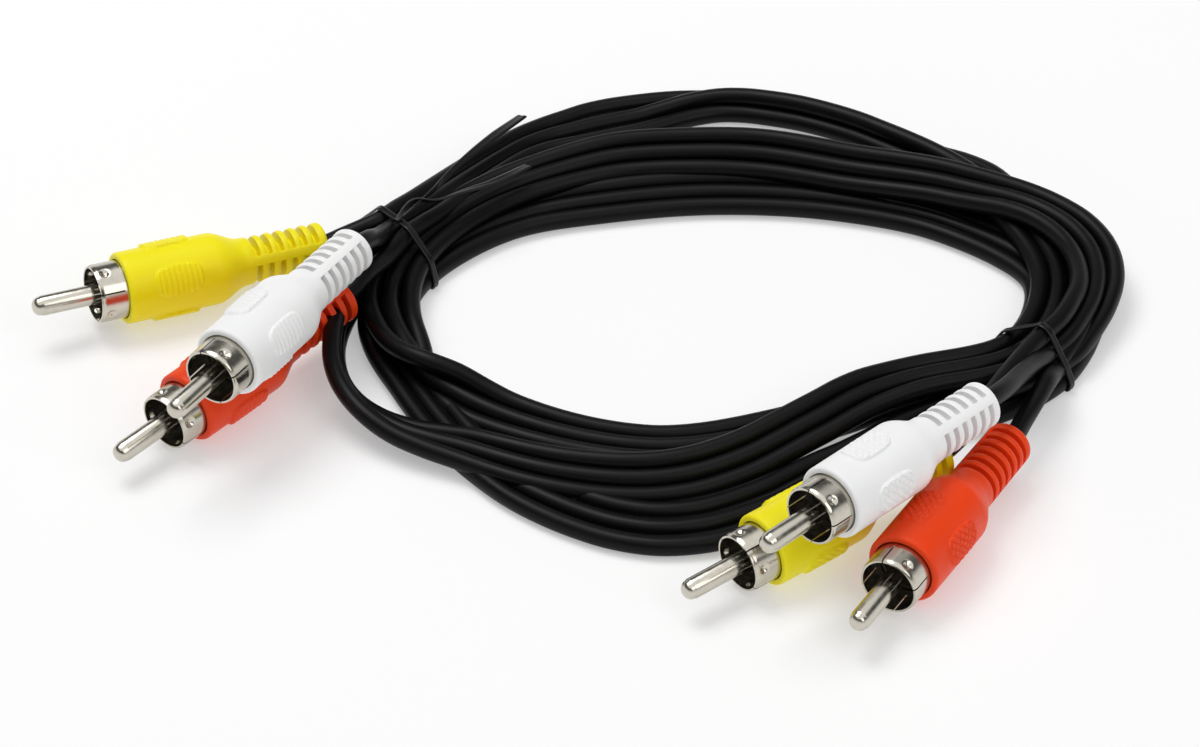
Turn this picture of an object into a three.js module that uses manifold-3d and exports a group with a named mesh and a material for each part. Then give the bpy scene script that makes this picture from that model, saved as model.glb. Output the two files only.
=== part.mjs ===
import * as THREE from 'three';
import { mergeVertices } from 'three/addons/utils/BufferGeometryUtils.js';
import Module from 'manifold-3d';

// Three-way audio and video lead: a black triple cord with three plugs at each end,
// wound into a flat loose coil that two plastic twist ties hold.
// Millimetres, +Z up, the floor at z = 0.

// Gap between neighbouring pieces
const GAP = 0.3;

// Centre of the floor rectangle under plugs and ties, in the frame the places below are given in
const CENTRE_X = -6.53;
const CENTRE_Y = -1.67;

// Centre pin
const PIN_RADIUS = 1.6;
const PIN_REACH = 10.0;
const PIN_NOSE = 1.3;

// Ground shell: a thin split tube round the pin
const SHELL_RADIUS = 4.6;
const SHELL_WALL = 0.4;
const SHELL_SHOWN = 4.4;
const SHELL_SEATED = 5.0;
const SLIT_WIDTH = 0.35;
const SLIT_DEPTH = 3.9;
const DIMPLE_RADIUS = 0.8;
const DIMPLE_BACK = 1.5;

// Insulator between pin and shell
const INSULATOR_BACK = 5.2;

// Moulded body with its strain relief
const BODY_RADIUS = 5.7;
const BODY_LENGTH = 15.2;
const BODY_EDGE = 0.5;
const TAPER_LENGTH = 5.4;
const RELIEF_RADIUS = 3.8;
const RELIEF_END_RADIUS = 3.65;
const MOULDING_LENGTH = 34.1;
const MOULDING_BACK = SHELL_SHOWN + MOULDING_LENGTH;
const CAVITY_BACK = SHELL_SHOWN + SHELL_SEATED + GAP;

// Grip pads on the body
const PAD_HEIGHT = 0.45;
const PAD_LENGTH = 7.4;
const PAD_WIDTH = 5.0;
const PAD_BACK = 13.4;
const PAD_CORNERS = 12;

// Slots of the strain relief
const SLOT_COUNT = 6;
const SLOT_PITCH = 2.0;
const SLOT_WIDTH = 0.9;
const SLOT_FIRST = 26.6;
const SLOT_FLOOR = 2.1;
const SLOT_HALF_ANGLE = 77;

// Cord
const STRAND_RADIUS = 1.5;

// Twist ties
const TIE_THICK = 0.5;
const TIE_WIDTH = 2.0;
// Extra room at the bundle's side, where the coil widens beyond the tie
const TIE_SLACK = 0.25;

const ROUND = 24;

const COLOURS = {
  nickel: 0xc9c8ba,
  insulator: 0x4a453c,
  yellow: 0xf0dc28,
  white: 0xf4f4f2,
  red: 0xe05024,
  cord: 0x161617,
  tie: 0x101011,
};

// Each plug: its mouth's centre, the way it points (yaw, pitch), the turn of its pads and slits
// and of its strain relief's spine about its own axis, in degrees
const PLUGS = [
  { name: 'left_yellow', colour: 'yellow', x: -79.0, y: 11.1, z: 6.96, yaw: 25.1, pitch: 3.5, roll: 31, spine: -59 },
  { name: 'left_white', colour: 'white', x: -57.9, y: -23.2, z: 17.3, yaw: 58.8, pitch: 0.6, roll: -68, spine: -25 },
  { name: 'left_red', colour: 'red', x: -65.8, y: -19.2, z: 5.52, yaw: 48.0, pitch: -3.0, roll: -26, spine: -26 },
  { name: 'right_yellow', colour: 'yellow', x: 20.0, y: -52.0, z: 5.54, yaw: 37.2, pitch: -2.6, roll: -30, spine: -30 },
  { name: 'right_white', colour: 'white', x: 30.1, y: -55.1, z: 17.05, yaw: 46.2, pitch: 2.0, roll: 8, spine: -40 },
  { name: 'right_red', colour: 'red', x: 41.6, y: -57.8, z: 6.13, yaw: 59.0, pitch: -0.2, roll: 15, spine: 57 },
];

// Route of each cord tail from its plug to the coil, hand placed
const TAILS = {
  left_yellow: [[-41.4, 29.4, 4.0], [-39.6, 30.3, 3.4]],
  left_white: [[-34.2, 14.8, 13.6], [-30.8, 19.4, 9.2], [-28.6, 22.6, 7.1], [-26.9, 25.6, 6.9]],
  left_red: [[-36.6, 14.2, 9.2], [-33.8, 20.6, 7.6], [-30.9, 27.2, 7.0]],
  right_yellow: [[54.4, -25.4, 8.4], [59.6, -14.4, 8.3], [64.4, -1.6, 7.2], [66.6, 2.0, 7.0]],
  right_white: [[60.0, -22.0, 14.9], [64.0, -11.8, 9.4], [67.5, -3.3, 7.2], [69.0, -0.2, 7.0]],
  right_red: [[63.8, -19.4, 6.3], [67.2, -11.6, 7.0], [70.2, -5.6, 7.0], [71.6, -2.8, 7.0]],
};

// The coil's inner edge, clockwise from the left tie
const GUIDE = [
  [-26.0, 24.5], [-13.5, 35.5], [3.0, 40.0], [20.0, 42.0], [38.0, 40.5], [55.0, 34.5], [67.0, 21.0],
  [62.5, 4.0], [46.0, -3.5], [28.0, -12.5], [9.0, -17.0], [-10.0, -12.0], [-26.0, -0.5], [-30.5, 12.0],
];
// Its section there: outer edge from the guide, underside, top at the inner and at the outer side
const SECTIONS = [
  [13.3, 0.9, 5.0, 5.0], [22.9, 0, 5.7, 5.2], [29.2, 0, 5.6, 5.6], [31.6, 0, 5.6, 5.6], [26.0, 0, 5.8, 5.8],
  [16.1, 0, 6.4, 6.4], [16.0, 0, 6.4, 6.4], [15.0, 0.9, 5.0, 5.0], [16.6, 0, 5.4, 4.4], [19.8, 0, 5.6, 3.4],
  [24.9, 0, 5.6, 3.4], [21.3, 0, 6.0, 3.4], [15.1, 0, 6.4, 3.3], [13.9, 0, 5.4, 2.9],
];
const INNER_EDGE = -1.5;
const COIL_BEVEL = 0.9;
const COIL_STEPS = 4;
const LEFT_TIE_STATION = 0;
const RIGHT_TIE_STATION = 7;

// Twisted ends of the left tie: the twist, then two flat tails
const TWIST_FOOT = [-31.2, 29.6, 9.4];
const TWIST_HEAD = [-27.6, 36.2, 9.6];
const TIE_TAILS = [
  [[-26.6, 38.4, 9.4], [-22.6, 47.0, 8.6], [-17.6, 56.2, 8.0], [-12.6, 62.6, 7.4]],
  [[-26.2, 37.4, 9.8], [-22.0, 39.8, 10.4], [-18.4, 41.6, 10.2], [-13.2, 43.2, 9.4]],
];
const TWIST_RADIUS = 1.25;

const radians = THREE.MathUtils.degToRad;

// Closed surface through rings of equal point count; a loop joins its last ring to its first
function skin(rings, loop) {
  const count = rings[0].length;
  const places = rings.flat().flatMap((p) => [p.x, p.y, p.z]);
  const faces = [];
  const spans = loop ? rings.length : rings.length - 1;
  for (let i = 0; i < spans; i += 1) {
    const a = i * count;
    const b = ((i + 1) % rings.length) * count;
    for (let j = 0; j < count; j += 1) {
      const k = (j + 1) % count;
      faces.push(a + j, a + k, b + k, a + j, b + k, b + j);
    }
  }
  if (!loop) {
    const last = (rings.length - 1) * count;
    for (let j = 1; j < count - 1; j += 1) {
      faces.push(0, j + 1, j, last, last + j, last + j + 1);
    }
  }
  const geometry = new THREE.BufferGeometry();
  geometry.setAttribute('position', new THREE.Float32BufferAttribute(places, 3));
  geometry.setIndex(faces);
  return outward(geometry);
}

// Turns a closed surface the right side out
function outward(geometry) {
  const place = geometry.attributes.position;
  const index = geometry.index.array;
  const [a, b, c] = [new THREE.Vector3(), new THREE.Vector3(), new THREE.Vector3()];
  let volume = 0;
  for (let i = 0; i < index.length; i += 3) {
    a.fromBufferAttribute(place, index[i]);
    b.fromBufferAttribute(place, index[i + 1]);
    c.fromBufferAttribute(place, index[i + 2]);
    volume += a.dot(b.cross(c));
  }
  if (volume < 0) {
    for (let i = 0; i < index.length; i += 3) {
      [index[i + 1], index[i + 2]] = [index[i + 2], index[i + 1]];
    }
  }
  return geometry;
}

// Solid of revolution about +Z from [distance behind the mouth, radius] pairs
function turned(outline, sides) {
  const profile = outline.map(([back, radius]) => new THREE.Vector2(radius, -back));
  const geometry = new THREE.LatheGeometry(profile, sides);
  geometry.rotateX(Math.PI / 2);
  return merged(geometry);
}

// The same surface with its seams joined
function merged(geometry) {
  geometry.deleteAttribute('normal');
  geometry.deleteAttribute('uv');
  return outward(mergeVertices(geometry, 1e-4));
}

// Solid for boolean work, from a closed mesh
function solidOf(wasm, source) {
  const surface = merged(source);
  return new wasm.Manifold(new wasm.Mesh({
    numProp: 3,
    vertProperties: new Float32Array(surface.attributes.position.array),
    triVerts: new Uint32Array(surface.index.array),
  }));
}

function geometryOf(solid) {
  const mesh = solid.getMesh();
  const geometry = new THREE.BufferGeometry();
  geometry.setAttribute('position', new THREE.BufferAttribute(new Float32Array(mesh.vertProperties), 3));
  geometry.setIndex(new THREE.BufferAttribute(new Uint32Array(mesh.triVerts), 1));
  return geometry;
}

function pinGeometry() {
  return turned([
    [-PIN_REACH, 0],
    [-PIN_REACH + 0.12 * PIN_NOSE, 0.42 * PIN_RADIUS],
    [-PIN_REACH + 0.45 * PIN_NOSE, 0.8 * PIN_RADIUS],
    [-PIN_REACH + PIN_NOSE, PIN_RADIUS],
    [CAVITY_BACK - GAP, PIN_RADIUS],
    [CAVITY_BACK - GAP, 0],
  ], 16);
}

function insulatorGeometry() {
  const rim = SHELL_RADIUS - SHELL_WALL - GAP;
  const bore = PIN_RADIUS + GAP;
  const back = CAVITY_BACK - GAP;
  return turned([[INSULATOR_BACK, bore], [INSULATOR_BACK, rim], [back, rim], [back, bore], [INSULATOR_BACK, bore]], ROUND);
}

// Split tube with a slit between each pair of petals and a dimple pressed into each petal
function shellGeometry(wasm) {
  const inner = SHELL_RADIUS - SHELL_WALL;
  const back = SHELL_SHOWN + SHELL_SEATED;
  let shell = solidOf(wasm, turned([[0, inner], [0, SHELL_RADIUS], [back, SHELL_RADIUS], [back, inner], [0, inner]], ROUND));
  for (let petal = 0; petal < 4; petal += 1) {
    const bump = new THREE.SphereGeometry(DIMPLE_RADIUS + 0.35, 8, 4);
    bump.translate(inner + 0.5, 0, -DIMPLE_BACK);
    bump.rotateZ(radians(45 + 90 * petal));
    shell = shell.add(solidOf(wasm, bump));
  }
  const outside = turned([[-1, SHELL_RADIUS], [-1, 9], [back + 1, 9], [back + 1, SHELL_RADIUS], [-1, SHELL_RADIUS]], ROUND);
  shell = shell.subtract(solidOf(wasm, outside));
  for (let petal = 0; petal < 4; petal += 1) {
    const dent = new THREE.SphereGeometry(DIMPLE_RADIUS, 8, 4);
    dent.translate(SHELL_RADIUS + 0.2, 0, -DIMPLE_BACK);
    dent.rotateZ(radians(45 + 90 * petal));
    shell = shell.subtract(solidOf(wasm, dent));
    const slit = new THREE.BoxGeometry(3, SLIT_WIDTH, SLIT_DEPTH + 1);
    slit.translate(SHELL_RADIUS, 0, 0.5 - SLIT_DEPTH / 2);
    slit.rotateZ(radians(90 * petal));
    shell = shell.subtract(solidOf(wasm, slit));
  }
  return geometryOf(shell);
}

// Oval block that stands out along +X, cut to the pad's own round top afterwards
function padBlock() {
  const ring = (out) => Array.from({ length: PAD_CORNERS }, (unused, i) => {
    const angle = (2 * Math.PI * i) / PAD_CORNERS;
    const across = Math.sign(Math.sin(angle)) * Math.abs(Math.sin(angle)) ** 0.7;
    const along = Math.sign(Math.cos(angle)) * Math.abs(Math.cos(angle)) ** 0.7;
    return new THREE.Vector3(out, (across * PAD_WIDTH) / 2, (along * PAD_LENGTH) / 2 - PAD_BACK);
  });
  return skin([ring(BODY_RADIUS * 0.7), ring(BODY_RADIUS + 1)], false);
}

// Part of a flat ring round +Z, as the tool that cuts one slot of the strain relief
function slotTool(back, middle) {
  const steps = 5;
  const reach = BODY_RADIUS + 1;
  const ring = (z) => {
    const points = [];
    for (let i = 0; i <= steps; i += 1) {
      const angle = radians(middle - SLOT_HALF_ANGLE + (2 * SLOT_HALF_ANGLE * i) / steps);
      points.push(new THREE.Vector3(reach * Math.cos(angle), reach * Math.sin(angle), z));
    }
    for (let i = steps; i >= 0; i -= 1) {
      const angle = radians(middle - SLOT_HALF_ANGLE + (2 * SLOT_HALF_ANGLE * i) / steps);
      points.push(new THREE.Vector3(SLOT_FLOOR * Math.cos(angle), SLOT_FLOOR * Math.sin(angle), z));
    }
    return points;
  };
  return ringPrism(ring(-back - SLOT_WIDTH / 2), ring(-back + SLOT_WIDTH / 2), steps + 1);
}

// Closed prism between two equal arched outlines, each of an outer row and an inner row back
function ringPrism(low, high, half) {
  const all = [...low, ...high];
  const count = low.length;
  const faces = [];
  for (let j = 0; j < count; j += 1) {
    const k = (j + 1) % count;
    faces.push(j, k, count + k, j, count + k, count + j);
  }
  for (let j = 0; j < half - 1; j += 1) {
    const mate = count - 1 - j;
    faces.push(j, mate, mate - 1, j, mate - 1, j + 1);
    faces.push(count + j, count + j + 1, count + mate - 1, count + j, count + mate - 1, count + mate);
  }
  const geometry = new THREE.BufferGeometry();
  geometry.setAttribute('position', new THREE.Float32BufferAttribute(all.flatMap((p) => [p.x, p.y, p.z]), 3));
  geometry.setIndex(faces);
  return outward(geometry);
}

// Moulded body: round front with a cavity for the shell, four grip pads, a taper
// and a strain relief slotted from both sides down to the cord
function bodyGeometry(wasm, plug) {
  const front = SHELL_SHOWN;
  const bodyEnd = front + BODY_LENGTH;
  const reliefStart = bodyEnd + TAPER_LENGTH;
  const bore = SHELL_RADIUS + GAP;
  const outline = [
    [CAVITY_BACK, 0],
    [CAVITY_BACK, bore],
    [front, bore],
    [front, BODY_RADIUS - BODY_EDGE],
    [front + 0.35 * BODY_EDGE, BODY_RADIUS - 0.3 * BODY_EDGE],
    [front + BODY_EDGE + 0.3, BODY_RADIUS],
    [bodyEnd, BODY_RADIUS],
    [bodyEnd + 0.4 * TAPER_LENGTH, 0.8 * BODY_RADIUS + 0.2 * RELIEF_RADIUS],
    [bodyEnd + 0.75 * TAPER_LENGTH, 0.2 * BODY_RADIUS + 0.8 * RELIEF_RADIUS],
    [reliefStart, RELIEF_RADIUS],
    [MOULDING_BACK - 0.4, RELIEF_END_RADIUS],
    [MOULDING_BACK, RELIEF_END_RADIUS - 0.4],
    [MOULDING_BACK, 0],
  ];
  const core = turned(outline, ROUND);
  core.rotateZ(radians(plug.roll));
  let body = solidOf(wasm, core);
  const cap = turned([[front + 1, 0], [front + 1, BODY_RADIUS + PAD_HEIGHT], [bodyEnd, BODY_RADIUS + PAD_HEIGHT], [bodyEnd, 0]], ROUND);
  const hollow = turned([[front, 0], [front, bore + 0.1], [bodyEnd + 1, bore + 0.1], [bodyEnd + 1, 0]], ROUND);
  cap.rotateZ(radians(plug.roll));
  hollow.rotateZ(radians(plug.roll));
  const skinBand = solidOf(wasm, cap).subtract(solidOf(wasm, hollow));
  for (let side = 0; side < 4; side += 1) {
    const block = padBlock();
    block.rotateZ(radians(plug.roll + 90 * side));
    body = body.add(solidOf(wasm, block).intersect(skinBand));
  }
  for (let slot = 0; slot < SLOT_COUNT; slot += 1) {
    for (const side of [90, -90]) {
      body = body.subtract(solidOf(wasm, slotTool(SLOT_FIRST + SLOT_PITCH * slot, plug.spine + side)));
    }
  }
  return geometryOf(body);
}

// Placing: local +Z points out of the plug's mouth, local +X is up at no roll
function plugMatrix(plug) {
  const yaw = radians(plug.yaw);
  const pitch = radians(plug.pitch);
  const tip = new THREE.Vector3(-Math.cos(yaw) * Math.cos(pitch), -Math.sin(yaw) * Math.cos(pitch), Math.sin(pitch));
  const up = new THREE.Vector3(0, 0, 1).addScaledVector(tip, -tip.z).normalize();
  const side = new THREE.Vector3().crossVectors(tip, up);
  return new THREE.Matrix4().makeBasis(up, side, tip).setPosition(plug.x, plug.y, plug.z);
}

// Round tube of one strand through hand-placed points
function tailGeometry(plug) {
  const matrix = plugMatrix(plug);
  const start = new THREE.Vector3(0, 0, -MOULDING_BACK - GAP).applyMatrix4(matrix);
  const points = [start, ...TAILS[plug.name].map((p) => new THREE.Vector3(...p))];
  const curve = new THREE.CatmullRomCurve3(points, false, 'centripetal');
  const steps = 3 * (points.length - 1);
  const rings = [];
  for (let i = 0; i <= steps; i += 1) {
    const middle = curve.getPoint(i / steps);
    const along = i === 0
      ? new THREE.Vector3(0, 0, -1).transformDirection(matrix)
      : curve.getTangent(i / steps);
    rings.push(ringRound(middle, along, STRAND_RADIUS, 8));
  }
  return skin(rings, false);
}

function ringRound(middle, along, radius, sides) {
  const across = new THREE.Vector3(0, 0, 1).cross(along).normalize();
  const up = new THREE.Vector3().crossVectors(along, across);
  return Array.from({ length: sides }, (unused, j) => {
    const angle = (2 * Math.PI * (j + 0.5)) / sides;
    return middle.clone()
      .addScaledVector(across, radius * Math.cos(angle))
      .addScaledVector(up, radius * Math.sin(angle));
  });
}

// Smooth value through rows that repeat round the coil
function roundTheCoil(rows, t) {
  const i = Math.floor(t);
  const f = t - i;
  const [a, b, c, d] = [-1, 0, 1, 2].map((k) => rows[(i + k + rows.length) % rows.length]);
  return b.map((v, n) => 0.5 * (2 * v + (c[n] - a[n]) * f
    + (2 * a[n] - 5 * v + 4 * c[n] - d[n]) * f * f
    + (3 * v - a[n] - 3 * c[n] + d[n]) * f ** 3));
}

// Place on the coil's inner edge and the level direction out of the ring there
function guideAt(t) {
  const wrapped = (t + GUIDE.length) % GUIDE.length;
  const [x, y] = roundTheCoil(GUIDE, wrapped);
  const before = roundTheCoil(GUIDE, (wrapped - 0.02 + GUIDE.length) % GUIDE.length);
  const after = roundTheCoil(GUIDE, (wrapped + 0.02) % GUIDE.length);
  const along = new THREE.Vector3(after[0] - before[0], after[1] - before[1], 0).normalize();
  return { place: new THREE.Vector3(x, y, 0), along, out: new THREE.Vector3(-along.y, along.x, 0) };
}

// Outer shape of the whole coil as one closed ring
function coilGeometry() {
  const rings = [];
  for (let i = 0; i < GUIDE.length * COIL_STEPS; i += 1) {
    const t = i / COIL_STEPS;
    const { place, out } = guideAt(t);
    const [outer, low, topIn, topOut] = roundTheCoil(SECTIONS, t);
    const under = Math.max(0, low);
    const c = COIL_BEVEL;
    const section = [
      [INNER_EDGE + c, under], [outer - c, under], [outer, under + c], [outer, topOut - c],
      [outer - c, topOut], [INNER_EDGE + c, topIn], [INNER_EDGE, topIn - c], [INNER_EDGE, under + c],
    ];
    rings.push(section.map(([u, z]) => place.clone().addScaledVector(out, u).setZ(z)));
  }
  return skin(rings, true);
}

function roundedBox(left, right, bottom, top, corner) {
  const shape = new THREE.Shape();
  shape.moveTo(left + corner, bottom);
  shape.lineTo(right - corner, bottom);
  shape.absarc(right - corner, bottom + corner, corner, -Math.PI / 2, 0, false);
  shape.lineTo(right, top - corner);
  shape.absarc(right - corner, top - corner, corner, 0, Math.PI / 2, false);
  shape.lineTo(left + corner, top);
  shape.absarc(left + corner, top - corner, corner, Math.PI / 2, Math.PI, false);
  shape.lineTo(left, bottom + corner);
  shape.absarc(left + corner, bottom + corner, corner, Math.PI, 1.5 * Math.PI, false);
  return shape;
}

// Flat strip bent round the bundle at one station
function tieRing(station) {
  const { place, along, out } = guideAt(station);
  const [outer, low, topIn] = SECTIONS[station];
  const left = INNER_EDGE - GAP - TIE_SLACK;
  const right = outer + GAP + TIE_SLACK;
  const bottom = low - GAP;
  const top = topIn + 2 * STRAND_RADIUS + 2 * GAP + 0.2;
  const shape = roundedBox(left - TIE_THICK, right + TIE_THICK, bottom - TIE_THICK, top + TIE_THICK, 1.3);
  shape.holes.push(roundedBox(left, right, bottom, top, 0.8));
  const geometry = new THREE.ExtrudeGeometry(shape, { depth: TIE_WIDTH, bevelEnabled: false, curveSegments: 3 });
  geometry.translate(0, 0, -TIE_WIDTH / 2);
  const matrix = new THREE.Matrix4().makeBasis(out, new THREE.Vector3(0, 0, 1), along);
  geometry.applyMatrix4(matrix.setPosition(place));
  return geometry;
}

// Flat strip through points, its broad side across the given direction
function stripGeometry(points) {
  const curve = new THREE.CatmullRomCurve3(points.map((p) => new THREE.Vector3(...p)), false, 'centripetal');
  const steps = 3 * (points.length - 1);
  const rings = [];
  for (let i = 0; i <= steps; i += 1) {
    const middle = curve.getPoint(i / steps);
    const along = curve.getTangent(i / steps);
    const across = new THREE.Vector3(0, 0, 1).cross(along).normalize();
    const up = new THREE.Vector3().crossVectors(along, across);
    const corners = [[1, 1], [-1, 1], [-1, -1], [1, -1]];
    rings.push(corners.map(([a, b]) => middle.clone()
      .addScaledVector(across, (a * TIE_WIDTH) / 2)
      .addScaledVector(up, (b * TIE_THICK) / 2)));
  }
  return skin(rings, false);
}

// The left tie: ring, the two ends twisted together on top, two flat tails
function leftTieGeometry(wasm) {
  let tie = solidOf(wasm, tieRing(LEFT_TIE_STATION));
  const foot = new THREE.Vector3(...TWIST_FOOT);
  const head = new THREE.Vector3(...TWIST_HEAD);
  const along = head.clone().sub(foot);
  const across = new THREE.Vector3(0, 0, 1).cross(along).normalize();
  const up = new THREE.Vector3().crossVectors(along.clone().normalize(), across);
  const steps = 12;
  for (const start of [0, Math.PI]) {
    const rings = [];
    for (let i = 0; i <= steps; i += 1) {
      const angle = start + (i / steps) * 3 * Math.PI;
      const middle = foot.clone().addScaledVector(along, i / steps)
        .addScaledVector(across, 0.5 * TWIST_RADIUS * Math.cos(angle))
        .addScaledVector(up, 0.5 * TWIST_RADIUS * Math.sin(angle));
      rings.push(ringRound(middle, along.clone().normalize(), 0.55 * TWIST_RADIUS, 6));
    }
    tie = tie.add(solidOf(wasm, skin(rings, false)));
  }
  for (const tail of TIE_TAILS) {
    tie = tie.add(solidOf(wasm, stripGeometry([TWIST_HEAD, ...tail])));
  }
  return geometryOf(tie);
}

function named(name, geometry, colour, roughness, metalness) {
  const material = new THREE.MeshStandardMaterial({ color: COLOURS[colour], roughness, metalness });
  const mesh = new THREE.Mesh(geometry, material);
  geometry.translate(-CENTRE_X, -CENTRE_Y, 0);
  mesh.name = name;
  return mesh;
}

async function build() {
  const wasm = await Module();
  wasm.setup();
  const group = new THREE.Group();
  group.name = 'triple_plug_lead';
  for (const plug of PLUGS) {
    const matrix = plugMatrix(plug);
    const turn = new THREE.Matrix4().makeRotationZ(radians(plug.roll));
    const turned4 = matrix.clone().multiply(turn);
    const add = (part, geometry, placing, colour, roughness, metalness) => {
      geometry.applyMatrix4(placing);
      group.add(named(`${plug.name}_${part}`, geometry, colour, roughness, metalness));
    };
    add('centre_pin', pinGeometry(), turned4, 'nickel', 0.22, 1);
    add('ground_shell', shellGeometry(wasm), turned4, 'nickel', 0.22, 1);
    add('insulator', insulatorGeometry(), turned4, 'insulator', 0.6, 0);
    add('body', bodyGeometry(wasm, plug), matrix, plug.colour, 0.45, 0);
    group.add(named(`${plug.name}_tail`, tailGeometry(plug), 'cord', 0.45, 0));
  }
  group.add(named('coil', coilGeometry(), 'cord', 0.45, 0));
  group.add(named('left_twist_tie', leftTieGeometry(wasm), 'tie', 0.35, 0));
  group.add(named('right_twist_tie', tieRing(RIGHT_TIE_STATION), 'tie', 0.35, 0));
  return group;
}

export default await build();
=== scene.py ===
import math

import bpy
from mathutils import Matrix, Vector
from mathutils.geometry import convex_hull_2d

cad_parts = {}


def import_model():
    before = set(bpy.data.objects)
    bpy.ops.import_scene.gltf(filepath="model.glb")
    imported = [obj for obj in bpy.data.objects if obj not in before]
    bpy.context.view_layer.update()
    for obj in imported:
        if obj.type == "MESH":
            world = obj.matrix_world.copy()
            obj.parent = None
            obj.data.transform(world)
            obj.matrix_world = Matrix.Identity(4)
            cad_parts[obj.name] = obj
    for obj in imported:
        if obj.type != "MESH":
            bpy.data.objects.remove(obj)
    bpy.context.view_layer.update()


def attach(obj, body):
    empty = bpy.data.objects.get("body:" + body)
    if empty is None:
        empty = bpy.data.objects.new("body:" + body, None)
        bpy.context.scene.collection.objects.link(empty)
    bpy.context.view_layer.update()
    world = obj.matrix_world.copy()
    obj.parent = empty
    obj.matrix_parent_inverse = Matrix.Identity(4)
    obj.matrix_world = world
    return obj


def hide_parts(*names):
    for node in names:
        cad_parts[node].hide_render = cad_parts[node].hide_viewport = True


# Looks of the three-way audio and video lead. Metres, +Z up, the floor at z = 0.

# The places below are given about this point of the floor, which is then moved to the origin
CENTRE = Vector((-0.00653, -0.00167, 0.0))

# Camera: where it stands, how far it looks down, and its lens and sensor in millimetres
CAMERA_PLACE = Vector((0.0, -0.5697, 0.4451))
CAMERA_DOWN = 38.0
CAMERA_LENS = 140.0
CAMERA_SENSOR = 36.0

# Darkest and lightest colour of each finish, or its only one
PLASTICS = {
    "yellow": ((0.89, 0.78, 0.004), (0.92, 0.82, 0.007)),
    "white": ((0.86, 0.86, 0.86), (0.90, 0.90, 0.90)),
    "red": ((0.79, 0.048, 0.004), (0.85, 0.058, 0.006)),
}
NICKEL = ((0.52, 0.49, 0.42), (0.66, 0.63, 0.55))
JACKET = ((0.0015, 0.0015, 0.0018), (0.003, 0.003, 0.0033))
INSULATOR = (0.030, 0.024, 0.016)
TIE_PLASTIC = (0.004, 0.004, 0.0045)
# Noise mostly stays in this range
NOISE_RANGE = (0.3, 0.7)

# Plugs: colour, where the cord comes out, yaw and pitch of the pin, turn of pads and slits, turn of the
# strain relief's spine
PLUGS = {
    "left_yellow": ("yellow", (-0.04420, 0.02740, 0.00461), 25.1, 3.5, 31, -59),
    "left_white": ("white", (-0.03796, 0.00973, 0.01690), 58.8, 0.6, -68, -25),
    "left_red": ("red", (-0.04007, 0.00937, 0.00754), 48.0, -3.0, -26, -26),
    "right_yellow": ("yellow", (0.05064, -0.02875, 0.00729), 37.2, -2.6, -30, -30),
    "right_white": ("white", (0.05673, -0.02733, 0.01571), 46.2, 2.0, 8, -40),
    "right_red": ("red", (0.06143, -0.02480, 0.00626), 59.0, -0.2, 15, 57),
}

# Pin and the insulator round it; a back is a distance behind the shell's mouth
PIN_RADIUS = 0.0016
PIN_REACH = 0.0100
PIN_NOSE = 0.0011
PIN_NOSE_RADIUS = 0.00135
PIN_TIP_RADIUS = 0.0001
PIN_SHOULDER = 0.0014
PIN_SHOULDER_BEVEL = 0.0002
PIN_MIDDLE_BACK = 0.0020
INSULATOR_BACK = 0.0052
INSULATOR_GAP = 0.0001
INSULATOR_BORE_GAP = 0.0002
GROOVE_BACK = 0.0056
GROOVE_RADII = (0.0024, 0.0026, 0.0033, 0.0035)
TURNED_SIDES = 48

# Ground shell, with four slits, a dimple between each two and a rim rolled in
SHELL_RADIUS = 0.0046
SHELL_WALL = 0.0004
SHELL_SHOWN = 0.0044
SHELL_BACK = 0.0094
SLIT_WIDTH = 0.00024
SLIT_BACK = 0.0039
DIMPLE_RADIUS = 0.00095
DIMPLE_DEPTH = 0.0004
DIMPLE_BACK = 0.0015
DIMPLE_STEEPNESS = 1.15
RIM_ROLL = 0.00016
RIM_INSIDE = 0.3
RIM_LENGTH = 0.0006
RIM_BACKS = [0.0, 0.00008, 0.00018, 0.0003, 0.00045]

# Moulded body: cavity, front edge, taper and strain relief
CAVITY_BACK = 0.0097
CAVITY_RADIUS = 0.0049
CAVITY_FLOOR = 0.0003
CAVITY_HOLE = 0.0012
MOUTH_LIP = 0.0002
BODY_RADIUS = 0.0057
BODY_EDGE = 0.0005
BODY_BACK = 0.0196
BODY_SIDES = 168
RELIEF_START = 0.0250
RELIEF_RADIUS = 0.0038
RELIEF_END_RADIUS = 0.00365
MOULDING_BACK = 0.0385
END_EDGE = 0.0005

# Four grip pads, their rounded outline and the fine ribs or lozenges on them
PAD_HEIGHT = 0.0004
PAD_LENGTH = 0.0080
PAD_WIDTH = 0.0050
PAD_BACK = 0.0126
PAD_SQUARENESS = 3.4
PAD_SLOPE = 0.34
PATTERN_REACH = 0.74
PATTERN_SLOPE = 0.12
PAD_RIBS = 9
PAD_RIB_HEIGHT = 0.00010
PAD_LOZENGES = 0.0013
LOZENGE_HEIGHT = 0.00038
LOZENGE_TOP = 0.6
LOZENGE_LEVEL = 0.5

# Strain relief slots, their walls and ends, and the ribs' edges between them
SLOT_COUNT = 6
SLOT_PITCH = 0.0020
SLOT_WIDTH = 0.0009
SLOT_FIRST = 0.0266
SLOT_FLOOR = 0.0020
SLOT_HALF_ANGLE = 77.0
SLOT_END = 3.0
SLOT_SIDE = 0.00008
RIB_EDGE = 0.0005
RIB_EDGE_DROP = 0.00018

# Cord: three round strands fused side by side, with their places across it
STRANDS = {"yellow": 1, "white": 0, "red": -1}
STRAND_RADIUS = 0.0015
STRAND_PITCH = 0.00295
STRAND_BEVEL = 5
STRAND_STEP = 0.0012
STRAND_INSIDE = 0.002
STRAND_STRAIGHT = 0.001

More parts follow.
